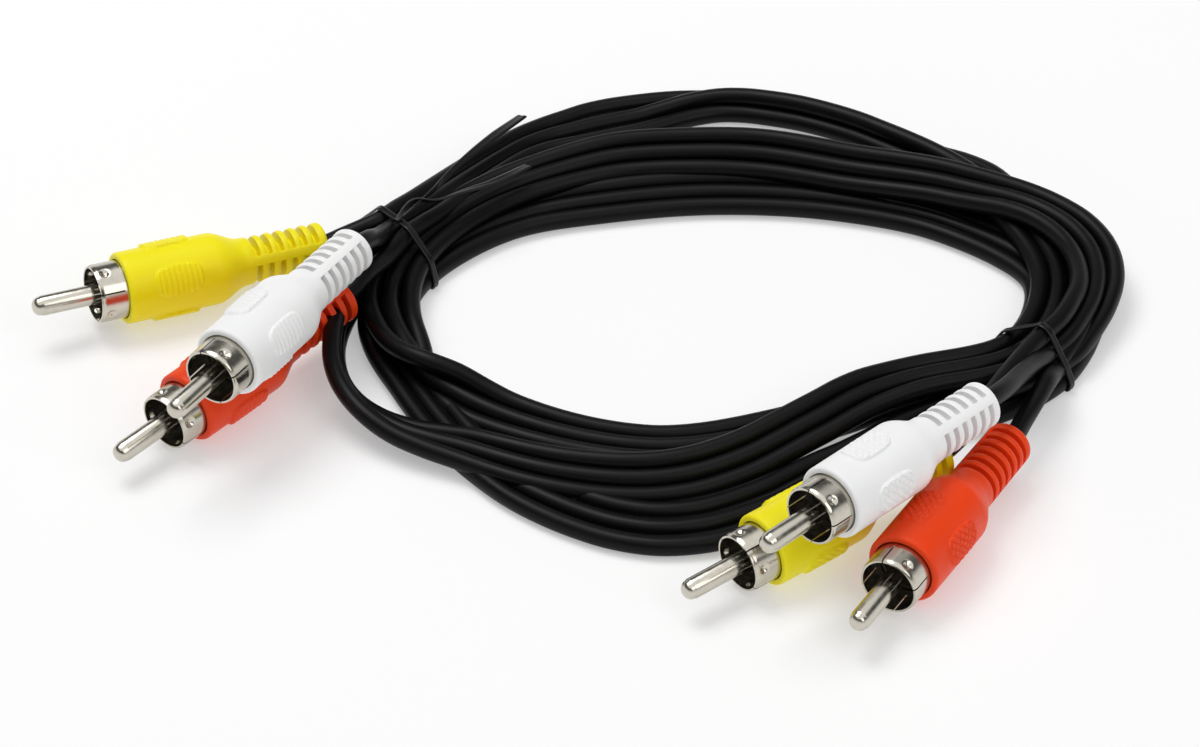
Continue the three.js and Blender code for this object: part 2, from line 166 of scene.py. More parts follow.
# Twist ties: the strip, how near to its plane and how far out strands are held, its flat tails, and
# its cross-section with a groove between two ribs, as shares of its width and thickness
TIE_THICK = 0.00045
TIE_WIDTH = 0.0012
TIE_TAIL_WIDTH = 0.0020
TIE_GAP = 0.0001
TIE_REACH = (-0.005, 0.019)
TIE_BESIDE = 0.0008
TIE_LOWEST = 0.0003
TIE_STEP = 0.0004
TIE_TAIL_STEP = 0.0007
STRIP_POINTS = 20
STRIP_ROUNDNESS = 0.7
STRIP_GROOVE = 0.05
STRIP_RIB = 0.2
STRIP_MIDDLE = 0.55
# Station, how far past it the strip goes round the bundle, its slant there, and corners (out, up)
# where it stands off the bundle
TIES = {
    "left_twist_tie": (0, -0.0020, 0.25, [(0.0184, 0.0014)]),
    "right_twist_tie": (7, 0.0, 0.0, []),
}
# Loose ends from the knot, as points and the strip's width share and turn there
TIE_ENDS = {
    "left_twist_tie": [
        [((-0.0318, 0.0287, 0.0090), 0.5, 0), ((-0.0292, 0.0312, 0.0098), 0.45, 90),
         ((-0.0268, 0.0349, 0.0096), 0.5, 170), ((-0.0233, 0.0422, 0.0090), 0.8, 180),
         ((-0.0179, 0.0517, 0.0080), 1.0, 185), ((-0.0128, 0.0596, 0.0070), 1.0, 195)],
        [((-0.0322, 0.0278, 0.0090), 0.5, 0), ((-0.0296, 0.0318, 0.0100), 0.45, -90),
         ((-0.0263, 0.0320, 0.0099), 0.5, -150), ((-0.0220, 0.0345, 0.0098), 0.8, -170),
         ((-0.0168, 0.0380, 0.0093), 1.0, -175), ((-0.0116, 0.0430, 0.0088), 1.0, -165)],
    ],
    "right_twist_tie": [],
}

# The coil's inner edge, clockwise from the left tie
GUIDE = [
    (-0.0260, 0.0245), (-0.0135, 0.0355), (0.0030, 0.0400), (0.0200, 0.0420), (0.0380, 0.0405),
    (0.0550, 0.0345), (0.0670, 0.0210), (0.0625, 0.0040), (0.0460, -0.0035), (0.0280, -0.0125),
    (0.0090, -0.0170), (-0.0100, -0.0120), (-0.0260, -0.0005), (-0.0305, 0.0120),
]
# The cord at its stations, 14 to a turn, in millimetres and degrees: station, its middle strand's way
# out from the guide and height, the cord's roll, the fold of its two outer strands, their spread
COIL = [
    # first turn, from the left plugs
    (0, 8.3, 6.7), (0.5, 9.6, 5.4), (1, 14.4, 3.4), (1.5, 22.2, 1.7, 0, 0, 1.1),
    (2, 24.9, 1.5, 0, 0, 1.45), (2.4, 26.2, 1.6, 0, 5, 1.4), (3, 28.3, 3.4, 0, 45), (3.5, 26.4, 4.0, 0, 55),
    (4, 22.3, 4.3, 0, 60), (4.5, 18.0, 4.2, 0, 50), (5, 13.0, 4.1, 0, 5), (5.5, 8.1, 4.0), (6, 5.2, 4.0),
    (7, 4.4, 4.1), (8, 4.1, 4.7), (8.5, 4.3, 4.9, -12), (9, 6.6, 4.3, -20), (9.5, 9.6, 3.4, -24),
    (10, 12.1, 2.9, -25), (10.6, 13.4, 3.0, -15), (11.2, 13.8, 3.0), (11.6, 15.5, 2.9, 25),
    (11.9, 16.0, 3.6, 50), (12.2, 14.5, 4.2, 72), (12.5, 12.1, 4.4, 88), (13, 9.2, 4.4, 90),
    (13.4, 8.4, 4.5, 80),
    # second turn
    (14, 10.2, 4.1, 10, 50), (15, 11.6, 1.5), (16, 11.6, 1.5), (17, 11.6, 1.5), (18, 11.6, 1.5),
    (19, 11.6, 1.5), (20, 10.1, 4.0, 0, 60), (21, 10.1, 4.0, 0, 60), (22, 11.8, 1.5, 0, 0, 1.1),
    (23, 16.0, 1.5, 0, 0, 1.35), (23.5, 19.9, 1.5, 0, 0, 1.4), (24, 22.3, 1.5, 0, 0, 1.35),
    (24.6, 18.2, 1.5, 0, 0, 1.2), (25, 14.6, 1.5), (25.6, 7.6, 1.5),
    (26, 4.0, 1.5), (26.4, 3.0, 1.5), (27, 3.1, 1.5),
    # third turn
    (28, 3, 1.5), (29, 3, 1.6), (30, 3.1, 2.1, 13), (31, 3.0, 2.1, 13), (32, 2.9, 1.7, 6), (33, 2.9, 1.5),
    (33.6, 3.6, 1.5), (34, 4.2, 1.5), (35, 2.9, 1.5), (36, 2.9, 1.5), (37, 2.9, 1.5), (38, 3, 1.5),
    (39.2, 3.2, 2.2, -12), (39.5, 3.4, 2.8, -40), (39.8, 3.5, 3.9, -95), (40.2, 2.2, 4.5, -150),
    (40.6, 1.9, 4.5, -172), (41.2, 2.6, 4.1, -180, 0, 1.12),
    # last turn, to the right plugs
    (42, 4.3, 4.2, -180), (43, 7.2, 4.3, -175), (44, 10.4, 5.2, -158), (44.8, 9.7, 5.5, -160, 0, 1.08),
    (45.3, 9.1, 5.5, -158, 0, 1.1), (46.1, 6.7, 5.6, -155), (47, 6.8, 6.6, -165), (47.5, 9.2, 7.0, -180),
    (47.8, 10.4, 6.8, -185, 0, 1.12), (48.1, 10.7, 6.5, -192, 0, 1.12), (48.35, 10.4, 6.2, -212),
    (48.6, 9.6, 5.9, -228), (49, 9.0, 5.7, -235),
]
# Roll, fold and spread where a station leaves them out
COIL_DEFAULTS = (0, 0, 1)
# Share of a station between two points of a strand, and millimetres in a metre
COIL_STEP = 0.2
MILLIMETRES = 1000

# Free stretches: from the left plug to the coil's first station, and from its last to the right plug
LEFT_TAILS = {
    "yellow": [(-0.0414, 0.0288, 0.0049)],
    "white": [(-0.0358, 0.0138, 0.0157), (-0.0352, 0.0194, 0.0118), (-0.0346, 0.0248, 0.0084)],
    "red": [(-0.0368, 0.0142, 0.0084), (-0.0336, 0.0206, 0.0071)],
}
RIGHT_TAILS = {
    "yellow": [(0.0610, -0.0124, 0.0083), (0.0550, -0.0240, 0.0083)],
    "white": [(0.0664, -0.0078, 0.0081), (0.0634, -0.0149, 0.0114), (0.0604, -0.0220, 0.0143)],
    "red": [(0.0680, -0.0110, 0.0070), (0.0641, -0.0190, 0.0063)],
}

# Floor: from its middle to a side, how far under the part, its matt grey and its own light
FLOOR_REACH = 6.0
FLOOR_DROP = 0.00005
FLOOR_GREY = 0.60
FLOOR_GLOW = 0.37

# Round lights that point at the part: place, size and watts
LIGHTS = {
    "softbox": ((-0.35, 0.35, 1.1), 0.7, 6.4),
    "fill": ((0.7, -0.7, 0.8), 0.8, 3.0),
}

# Sky: brightness at heights from the horizon, 0, to straight overhead, 1
SKY = [(0.0, 0.9), (0.20, 0.8), (0.34, 0.10), (0.68, 0.10), (0.82, 1.0), (1.0, 1.0)]


def main():
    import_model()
    make_camera()
    looks = make_materials()
    strands = make_cords(looks)
    make_plugs(looks)
    make_ties(looks, strands)
    make_stage()
    make_lights()


def make_camera():
    data = bpy.data.cameras.new("camera")
    data.lens = CAMERA_LENS
    data.sensor_width = CAMERA_SENSOR
    data.clip_start = 0.01
    camera = bpy.data.objects.new("camera", data)
    camera.location = CAMERA_PLACE - CENTRE
    camera.rotation_euler = (math.radians(90 - CAMERA_DOWN), 0, 0)
    bpy.context.collection.objects.link(camera)
    bpy.context.scene.camera = camera


# Materials

def new_material(name, colour, roughness, metallic=0.0):
    material = bpy.data.materials.new(name)
    material.use_nodes = True
    shader = material.node_tree.nodes["Principled BSDF"]
    shader.inputs["Base Color"].default_value = (*colour, 1)
    shader.inputs["Roughness"].default_value = roughness
    shader.inputs["Metallic"].default_value = metallic
    return material, shader


def grain(material, scale, detail):
    """Noise fixed to the piece."""
    nodes = material.node_tree.nodes
    where = nodes.new("ShaderNodeTexCoord")
    texture = nodes.new("ShaderNodeTexNoise")
    texture.inputs["Scale"].default_value = scale
    texture.inputs["Detail"].default_value = detail
    material.node_tree.links.new(where.outputs["Object"], texture.inputs["Vector"])
    return texture.outputs[0]


def vary(material, shader, socket, source, low, high):
    """Lets a socket's number follow a texture between two values."""
    spread = material.node_tree.nodes.new("ShaderNodeMapRange")
    spread.inputs["From Min"].default_value = NOISE_RANGE[0]
    spread.inputs["From Max"].default_value = NOISE_RANGE[1]
    spread.inputs["To Min"].default_value = low
    spread.inputs["To Max"].default_value = high
    material.node_tree.links.new(source, spread.inputs["Value"])
    material.node_tree.links.new(spread.outputs["Result"], shader.inputs[socket])


def tint(material, shader, source, dark, light):
    """Lets the base colour follow a texture between two colours."""
    mix = material.node_tree.nodes.new("ShaderNodeMix")
    mix.data_type = "RGBA"
    mix.inputs["A"].default_value = (*dark, 1)
    mix.inputs["B"].default_value = (*light, 1)
    material.node_tree.links.new(source, mix.inputs["Factor"])
    material.node_tree.links.new(mix.outputs["Result"], shader.inputs["Base Color"])


def bump(material, shader, source, strength, depth):
    node = material.node_tree.nodes.new("ShaderNodeBump")
    node.inputs["Strength"].default_value = strength
    node.inputs["Distance"].default_value = depth
    material.node_tree.links.new(source, node.inputs["Height"])
    material.node_tree.links.new(node.outputs["Normal"], shader.inputs["Normal"])


def moulded_plastic(name, dark, light):
    material, shader = new_material(name, light, roughness=0.4)
    shader.inputs["Subsurface Weight"].default_value = 0.06
    shader.inputs["Subsurface Radius"].default_value = (1.0, 0.7, 0.4)
    shader.inputs["Subsurface Scale"].default_value = 0.0012
    shader.inputs["Specular IOR Level"].default_value = 0.22
    broad = grain(material, scale=120, detail=2)
    fine = grain(material, scale=2600, detail=2)
    tint(material, shader, broad, dark, light)
    vary(material, shader, "Roughness", fine, low=0.36, high=0.46)
    bump(material, shader, fine, strength=0.12, depth=0.00005)
    return material


def nickel():
    dark, light = NICKEL
    material, shader = new_material("nickel", light, roughness=0.2, metallic=1.0)
    cloud = grain(material, scale=900, detail=3)
    tint(material, shader, cloud, dark, light)
    vary(material, shader, "Roughness", cloud, low=0.14, high=0.26)
    bump(material, shader, grain(material, scale=500, detail=2), strength=0.10, depth=0.0001)
    return material


def cord_jacket():
    dark, light = JACKET
    material, shader = new_material("cord_jacket", light, roughness=0.42)
    shader.inputs["Specular IOR Level"].default_value = 0.15
    broad = grain(material, scale=90, detail=2)
    fine = grain(material, scale=2400, detail=3)
    tint(material, shader, broad, dark, light)
    vary(material, shader, "Roughness", broad, low=0.36, high=0.46)
    bump(material, shader, fine, strength=0.15, depth=0.00004)
    return material


def insulator():
    material, shader = new_material("insulator", INSULATOR, roughness=0.5)
    bump(material, shader, grain(material, scale=1500, detail=2), strength=0.2, depth=0.00005)
    return material


def tie_plastic():
    material, shader = new_material("tie_plastic", TIE_PLASTIC, roughness=0.3)
    shader.inputs["Specular IOR Level"].default_value = 0.3
    bump(material, shader, grain(material, scale=700, detail=2), strength=0.25, depth=0.0001)
    return material


def make_materials():
    looks = {"nickel": nickel(), "cord": cord_jacket(), "insulator": insulator(), "tie": tie_plastic()}
    for colour, (dark, light) in PLASTICS.items():
        looks[colour] = moulded_plastic(colour + "_plastic", dark, light)
    return looks


# Mesh helpers

def rings_mesh(name, rings, loop=False, sharp=40):
    """Surface through rings of equal point count, closed at its ends or to a loop, as an object."""
    count = len(rings[0])
    points = [p for ring in rings for p in ring]
    faces = []
    for i in range(len(rings) if loop else len(rings) - 1):
        a = i * count
        b = (i + 1) % len(rings) * count
        for j in range(count):
            k = (j + 1) % count
            faces.append((a + j, a + k, b + k, b + j))
    if not loop:
        last = (len(rings) - 1) * count
        faces.append(tuple(range(count - 1, -1, -1)))
        faces.append(tuple(range(last, last + count)))
    return mesh_object(name, points, faces, sharp)


def mesh_object(name, points, faces, sharp):
    """Smooth mesh with creases where faces meet at more than so many degrees."""
    mesh = bpy.data.meshes.new(name)
    mesh.from_pydata([tuple(p) for p in points], [], faces)
    mesh.update()
    mesh.polygons.foreach_set("use_smooth", [True] * len(mesh.polygons))
    mesh.set_sharp_from_angle(angle=math.radians(sharp))
    piece = bpy.data.objects.new(name, mesh)
    bpy.context.collection.objects.link(piece)
    return piece


def finish_piece(piece, material, node):
    piece.data.materials.append(material)
    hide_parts(node)
    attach(piece, "root")


def smooth(x):
    """Eases from 0 to 1."""
    x = min(max(x, 0.0), 1.0)
    return x * x * (3 - 2 * x)


# Plugs

def plug_matrix(place, yaw, pitch):
    """Local +Z points out of the mouth and local +X is up at no roll."""
    yaw, pitch = math.radians(yaw), math.radians(pitch)
    tip = Vector((-math.cos(yaw) * math.cos(pitch), -math.sin(yaw) * math.cos(pitch), math.sin(pitch)))
    up = (Vector((0, 0, 1)) - tip * tip.z).normalized()
    side = tip.cross(up)
    matrix = Matrix((up, side, tip)).transposed().to_4x4()
    matrix.translation = Vector(place) - CENTRE + tip * MOULDING_BACK
    return matrix


def round_rings(outline, sides, matrix):
    """Rings of a turned shape from (distance behind the mouth, radius) pairs."""
    rings = []
    for back, radius in outline:
        rings.append([
            matrix @ Vector((radius * math.cos(a), radius * math.sin(a), -back))
            for a in (2 * math.pi * i / sides for i in range(sides))
        ])
    return rings


def pin_outline():
    """From the rounded nose to the pin's end in the moulding."""
    outline = []
    for degrees in range(0, 91, 10):
        a = math.radians(degrees)
        radius = PIN_TIP_RADIUS + PIN_NOSE_RADIUS * math.sin(a)
        outline.append((PIN_NOSE * (1 - math.cos(a)) - PIN_REACH, radius))
    shoulder = PIN_SHOULDER - PIN_REACH
    outline.append((shoulder, PIN_RADIUS - PIN_SHOULDER_BEVEL / 4))
    for back in (shoulder + PIN_SHOULDER_BEVEL, PIN_MIDDLE_BACK, CAVITY_BACK - CAVITY_FLOOR):
        outline.append((back, PIN_RADIUS))
    return outline


def insulator_outline():
    """Disc with a groove in its face, round the pin."""
    rim = SHELL_RADIUS - SHELL_WALL - INSULATOR_GAP
    bore = PIN_RADIUS + INSULATOR_BORE_GAP
    back = CAVITY_BACK - CAVITY_FLOOR
    first, second, third, fourth = GROOVE_RADII
    face = [(INSULATOR_BACK, bore), (INSULATOR_BACK, first), (GROOVE_BACK, second), (GROOVE_BACK, third),
            (INSULATOR_BACK, fourth), (INSULATOR_BACK, rim - INSULATOR_GAP)]
    return face + [(INSULATOR_BACK + INSULATOR_GAP, rim), (back, rim), (back, bore)]


def body_radius(back):
    """Radius of the moulding without pads and slots."""
    if back < RELIEF_START:
        share = smooth((back - BODY_BACK) / (RELIEF_START - BODY_BACK))
        return BODY_RADIUS + (RELIEF_RADIUS - BODY_RADIUS) * share
    share = (back - RELIEF_START) / (MOULDING_BACK - RELIEF_START)
    return RELIEF_RADIUS + (RELIEF_END_RADIUS - RELIEF_RADIUS) * share


def pad_height(back, angle, roll, lozenges):
    """How far a grip pad, with its fine ribs or lozenges, stands out at a place of the body."""
    turn = (angle - roll + 45) % 90 - 45
    around = math.radians(turn) * BODY_RADIUS
    across = abs(around) / (PAD_WIDTH / 2)
    along = (back - PAD_BACK) / (PAD_LENGTH / 2)
    reach = across ** PAD_SQUARENESS + abs(along) ** PAD_SQUARENESS
    if reach > 1:
        return 0.0
    height = PAD_HEIGHT * smooth((1 - reach) / PAD_SLOPE)
    inner = smooth((PATTERN_REACH - reach) / PATTERN_SLOPE)
    if lozenges:
        one = math.cos((back - PAD_BACK + around) * math.pi / PAD_LOZENGES)
        other = math.cos((back - PAD_BACK - around) * math.pi / PAD_LOZENGES)
        top = min(abs(one), abs(other), LOZENGE_TOP)
        return height + inner * LOZENGE_HEIGHT * (top - LOZENGE_LEVEL)
    return height + inner * PAD_RIB_HEIGHT * math.cos(along * PAD_RIBS * math.pi)


def slot_share(back, angle, spine):
    """How far a place is inside a strain relief slot, and how near to a rib's edge, from 0 to 1."""
    turn = (angle - spine + 90) % 180 - 90
    around = smooth((SLOT_HALF_ANGLE + SLOT_END / 2 - abs(abs(turn) - 90)) / SLOT_END)
    place = (back - SLOT_FIRST) / SLOT_PITCH
    number = min(max(round(place), 0), SLOT_COUNT - 1)
    off = abs(place - number) * SLOT_PITCH
    along = smooth((SLOT_WIDTH / 2 + SLOT_SIDE / 2 - off) / SLOT_SIDE)
    rim = smooth(1 - (off - SLOT_WIDTH / 2) / RIB_EDGE)
    return around * along, around * rim


def body_backs():
    """Distances behind the mouth at which the moulding's side has a ring of points."""
    backs = [SHELL_SHOWN + BODY_EDGE + 0.0008]
    backs += [PAD_BACK + PAD_LENGTH * (i / 72 - 0.5) for i in range(73)]
    backs += [BODY_BACK + (RELIEF_START - BODY_BACK) * i / 12 for i in range(13)]
    half = SLOT_WIDTH / 2
    for number in range(SLOT_COUNT):
        middle = SLOT_FIRST + SLOT_PITCH * number
        backs.append(middle)
        for off in (0.9 * half, half + SLOT_SIDE / 2, 1.12 * half, 1.4 * half, 1.8 * half):
            backs += [middle - off, middle + off]
    backs += [MOULDING_BACK - 0.0012, MOULDING_BACK - END_EDGE]
    return sorted(backs)


def body_front_outline():
    """Cavity, lip and rounded front edge."""
    outline = [(CAVITY_BACK, CAVITY_HOLE), (CAVITY_BACK, CAVITY_RADIUS),
               (SHELL_SHOWN + MOUTH_LIP, CAVITY_RADIUS - MOUTH_LIP),
               (SHELL_SHOWN, CAVITY_RADIUS - MOUTH_LIP / 2)]
    for step in range(5):
        a = math.radians(90 * step / 4)
        back = SHELL_SHOWN + BODY_EDGE - BODY_EDGE * math.cos(a)
        outline.append((back, BODY_RADIUS - BODY_EDGE * (1 - math.sin(a))))
    return outline


def body_rear_outline():
    """Rounded rear edge, closed in to the strand."""
    outline = []
    for step in range(1, 5):
        a = math.radians(90 * step / 4)
        back = MOULDING_BACK - END_EDGE * (1 - math.sin(a))
        outline.append((back, RELIEF_END_RADIUS - END_EDGE * (1 - math.cos(a))))
    return outline + [(MOULDING_BACK, STRAND_RADIUS)]


def body_piece(name, place, yaw, pitch, roll, spine, lozenges):
    """Body, grip pads, taper and slotted strain relief in one moulding."""
    matrix = plug_matrix(place, yaw, pitch)
    rings = round_rings(body_front_outline(), BODY_SIDES, matrix)
    for back in body_backs():
        ring = []
        for angle in (360 * i / BODY_SIDES for i in range(BODY_SIDES)):
            cut, rim = slot_share(back, angle, spine)
            radius = body_radius(back) + pad_height(back, angle, roll, lozenges) - RIB_EDGE_DROP * rim
            radius += (SLOT_FLOOR - radius) * cut
            a = math.radians(angle)
            ring.append(matrix @ Vector((radius * math.cos(a), radius * math.sin(a), -back)))
        rings.append(ring)
    rings += round_rings(body_rear_outline(), BODY_SIDES, matrix)
    return rings_mesh(name, rings, sharp=35)


def shell_radii(back, angle, roll):
    """Outer and inner radius of the shell where its petals are dented and its rim is rolled in."""
    turn = (angle - roll) % 90 - 45
    off = math.hypot(math.radians(turn) * SHELL_RADIUS, back - DIMPLE_BACK) / DIMPLE_RADIUS
    dent = DIMPLE_DEPTH * smooth(DIMPLE_STEEPNESS * (1 - off)) if off < 1 else 0.0
    rim = RIM_ROLL * (1 - smooth(back / RIM_LENGTH))
    return SHELL_RADIUS - dent - rim, SHELL_RADIUS - SHELL_WALL - dent - RIM_INSIDE * rim


def shell_piece(name, place, yaw, pitch, roll):
    """Four petals between slits, and the whole ring behind them, as one mesh."""
    matrix = plug_matrix(place, yaw, pitch)
    points = []
    faces = []

    def patch(angles, backs):
        """Closed curved slab over those angles and distances."""
        first = len(points)
        rows = len(backs)
        for layer in range(2):
            for angle in angles:
                for back in backs:
                    radius = shell_radii(back, angle, roll)[layer]
                    a = math.radians(angle)
                    points.append(matrix @ Vector((radius * math.cos(a), radius * math.sin(a), -back)))
        under = len(angles) * rows

        def face(*corners):
            """Four-sided face from corners (layer, number of the angle, number of the distance)."""
            faces.append([first + layer * under + i * rows + j for layer, i, j in corners])

        for i in range(len(angles) - 1):
            for j in range(rows - 1):
                face((0, i, j), (0, i, j + 1), (0, i + 1, j + 1), (0, i + 1, j))
                face((1, i, j), (1, i + 1, j), (1, i + 1, j + 1), (1, i, j + 1))
        last = rows - 1
        for i in range(len(angles) - 1):
            face((0, i, 0), (0, i + 1, 0), (1, i + 1, 0), (1, i, 0))
            face((0, i + 1, last), (0, i, last), (1, i, last), (1, i + 1, last))
        last = len(angles) - 1
        for j in range(rows - 1):
            face((0, 0, j + 1), (0, 0, j), (1, 0, j), (1, 0, j + 1))
            face((0, last, j), (0, last, j + 1), (1, last, j + 1), (1, last, j))

    half_slit = math.degrees(SLIT_WIDTH / 2 / SHELL_RADIUS)
    petal_backs = RIM_BACKS + [SLIT_BACK * i / 24 for i in range(4, 25)]
    for quarter in range(4):
        start = roll + 90 * quarter + half_slit
        patch([start + (90 - 2 * half_slit) * i / 44 for i in range(45)], petal_backs)
    ring_backs = [SLIT_BACK, SHELL_SHOWN, SHELL_BACK]
    for quarter in range(4):
        patch([roll + 90 * quarter + 90 * i / 16 for i in range(17)], ring_backs)
    return mesh_object(name, points, faces, sharp=40)


def make_plugs(looks):
    for plug, (colour, place, yaw, pitch, roll, spine) in PLUGS.items():
        matrix = plug_matrix(place, yaw, pitch)
        pin = rings_mesh(plug + "_pin", round_rings(pin_outline(), TURNED_SIDES, matrix))
        finish_piece(pin, looks["nickel"], plug + "_centre_pin")
        rings = round_rings(insulator_outline(), TURNED_SIDES, matrix)
        disc = rings_mesh(plug + "_disc", rings, loop=True)
        finish_piece(disc, looks["insulator"], plug + "_insulator")
        shell = shell_piece(plug + "_shell", place, yaw, pitch, roll)
        finish_piece(shell, looks["nickel"], plug + "_ground_shell")
        lozenges = plug.startswith("right")
        body = body_piece(plug + "_moulding", place, yaw, pitch, roll, spine, lozenges)
        finish_piece(body, looks[colour], plug + "_body")


# Cord

def between(a, b, c, d, f):
    """Value at share f from b to c on a smooth line through four."""
    square = (2 * a - 5 * b + 4 * c - d) * f * f
    cube = (3 * b - a - 3 * c + d) * f ** 3
    return 0.5 * (2 * b + (c - a) * f + square + cube)


def guide_at(t):
    """Place on the coil's inner edge and the level direction out of the ring there."""
    def place(at):
        i = math.floor(at)
        rows = [Vector(GUIDE[(i + k) % len(GUIDE)]) for k in (-1, 0, 1, 2)]
        return between(*rows, at - i)
    along = (place(t + 0.02) - place(t - 0.02)).normalized()
    return place(t), Vector((-along.y, along.x))


def station_at(t):
    """Way out, height, roll, fold and spread of the cord at a station anywhere on its way."""
    rows = [row + COIL_DEFAULTS[len(row) - 3:] for row in COIL]
    last = len(rows) - 1
    i = max(k for k in range(last) if rows[k][0] <= t + 1e-9)

    def slope(k, n):
        before, after = rows[max(k - 1, 0)], rows[min(k + 1, last)]
        return (after[n] - before[n]) / (after[0] - before[0])

    width = rows[i + 1][0] - rows[i][0]
    f = (t - rows[i][0]) / width
    here = 2 * f ** 3 - 3 * f * f + 1
    ahead = 3 * f * f - 2 * f ** 3
    leaving = (f ** 3 - 2 * f * f + f) * width
    arriving = (f ** 3 - f * f) * width
    return [
        here * rows[i][n] + leaving * slope(i, n) + ahead * rows[i + 1][n] + arriving * slope(i + 1, n)
        for n in range(1, 6)
    ]


def coil_point(t, strand):
    """Place of a strand at a station."""
    place, out = guide_at(t)
    away, height, roll, fold, spread = station_at(t)
    roll, fold = math.radians(roll), math.radians(fold)
    across = strand * STRAND_PITCH * MILLIMETRES * spread * math.cos(fold)
    down = -abs(strand) * STRAND_PITCH * MILLIMETRES * math.sin(fold)
    away += across * math.cos(roll) - down * math.sin(roll)
    height += across * math.sin(roll) + down * math.cos(roll)
    level = place + out * away / MILLIMETRES
    return Vector((level.x, level.y, max(height / MILLIMETRES, STRAND_RADIUS))) - CENTRE


def plug_end(plug, inside):
    """Point on a plug's axis that far inside the rear end of its moulding."""
    place, yaw, pitch = PLUGS[plug][1:4]
    return plug_matrix(place, yaw, pitch) @ Vector((0, 0, inside - MOULDING_BACK))


def through(points, step):
    """Even steps along a smooth line through uneven points."""
    ends = [points[0] * 2 - points[1]] + points + [points[-1] * 2 - points[-2]]
    line = []
    for i in range(1, len(ends) - 2):
        p = ends[i - 1:i + 3]
        knots = [0.0]
        for a, b in zip(p, p[1:]):
            knots.append(knots[-1] + max((b - a).length ** 0.5, 1e-6))
        count = max(1, round((p[2] - p[1]).length / step))
        for k in range(count):
            t = knots[1] + (knots[2] - knots[1]) * k / count
            level = [
                (p[n] * (knots[n + 1] - t) + p[n + 1] * (t - knots[n])) / (knots[n + 1] - knots[n])
                for n in range(3)
            ]
            level = [
                (level[n] * (knots[n + 2] - t) + level[n + 1] * (t - knots[n])) / (knots[n + 2] - knots[n])
                for n in range(2)
            ]
            line.append((level[0] * (knots[2] - t) + level[1] * (t - knots[1])) / (knots[2] - knots[1]))
    line.append(points[-1])
    return line


def strand_line(colour):
    """A strand's middle line from its left plug through the coil to its right plug."""
    left, right = "left_" + colour, "right_" + colour
    steps = round(COIL[-1][0] / COIL_STEP)
    points = [plug_end(left, STRAND_INSIDE), plug_end(left, -STRAND_STRAIGHT)]
    points += [Vector(p) - CENTRE for p in LEFT_TAILS[colour]]
    points += [coil_point(k * COIL_STEP, STRANDS[colour]) for k in range(steps + 1)]
    points += [Vector(p) - CENTRE for p in RIGHT_TAILS[colour]]
    points += [plug_end(right, -STRAND_STRAIGHT), plug_end(right, STRAND_INSIDE)]
    return through(points, STRAND_STEP)


def make_cords(looks):
    strands = {}
    for colour in STRANDS:
        line = strand_line(colour)
        curve = bpy.data.curves.new(colour + "_strand", "CURVE")
        curve.dimensions = "3D"
        curve.bevel_depth = STRAND_RADIUS
        curve.bevel_resolution = STRAND_BEVEL
        curve.use_fill_caps = True
        spline = curve.splines.new("POLY")
        spline.points.add(len(line) - 1)
        for point, place in zip(spline.points, line):
            point.co = (*place, 1)
        piece = bpy.data.objects.new(colour + "_strand", curve)
        bpy.context.collection.objects.link(piece)
        curve.materials.append(looks["cord"])
        nodes = ["left_" + colour + "_tail", "right_" + colour + "_tail"]
        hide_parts(*(nodes + ["coil"] if colour == "white" else nodes))
        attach(piece, "root")
        plug_end("left_" + colour, 0)
        strands[colour] = line
    return strands


# Twist ties

def strip_profile():
    """Cross-section of a strip, from -0.5 to 0.5 both ways, with a groove between its two ribs."""
    def rounded(x):
        return math.copysign(abs(x) ** STRIP_ROUNDNESS, x) / 2

    profile = []
    for i in range(STRIP_POINTS):
        a = 2 * math.pi * i / STRIP_POINTS
        across = rounded(math.cos(a))
        rib = smooth((abs(across) - STRIP_GROOVE) / STRIP_RIB)
        profile.append((across, rounded(math.sin(a)) * (STRIP_MIDDLE + (1 - STRIP_MIDDLE) * rib)))
    return profile


def strip_rings(path, outs, widths, loop=False):
    """Rings of a strip along a path; outs point away from its broad face."""
    profile = strip_profile()
    last = len(path) - 1
    rings = []
    for i, place in enumerate(path):
        if loop:
            along = path[(i + 1) % len(path)] - path[i - 1]
        else:
            along = path[min(i + 1, last)] - path[max(i - 1, 0)]
        along.normalize()
        out = (outs[i] - along * outs[i].dot(along)).normalized()
        side = along.cross(out)
        rings.append([place + side * (x * widths[i]) + out * (y * TIE_THICK) for x, y in profile])
    return rings


def tie_outline(station, shift, slant, corners, strands):
    """Strip drawn tight round every strand that passes a station, as places and outward directions."""
    level, out = guide_at(station)
    origin = Vector((level.x, level.y, 0)) - CENTRE
    out = Vector((out.x, out.y, 0))
    along = Vector((out.y, -out.x, 0))
    reach = STRAND_RADIUS + TIE_THICK / 2 + TIE_GAP
    turns = [math.radians(a) for a in range(0, 360, 15)]
    points = [Vector(corner) for corner in corners]
    for line in strands.values():
        for place in line:
            away = (place - origin).dot(out)
            beside = abs((place - origin).dot(along) - shift - slant * away) < TIE_BESIDE
            if beside and TIE_REACH[0] < away < TIE_REACH[1]:
                points += [
                    Vector((away + reach * math.cos(a), place.z + reach * math.sin(a))) for a in turns
                ]
    hull = [points[i] for i in convex_hull_2d(points)]
    path = []
    for a, b in zip(hull, hull[1:] + hull[:1]):
        count = max(1, round((b - a).length / TIE_STEP))
        path += [a.lerp(b, k / count) for k in range(count)]
    middle = sum(path, Vector((0, 0))) / len(path)
    places = []
    for p in path:
        up = Vector((0, 0, max(p.y, TIE_LOWEST)))
        places.append(origin + out * p.x + along * (shift + slant * p.x) + up)
    outs = []
    for i in range(len(path)):
        ahead = path[(i + 1) % len(path)] - path[i - 1]
        normal = Vector((ahead.y, -ahead.x))
        if normal.dot(path[i] - middle) < 0:
            normal.negate()
        outs.append(out * normal.x + Vector((0, 0, normal.y)))
    return places, outs


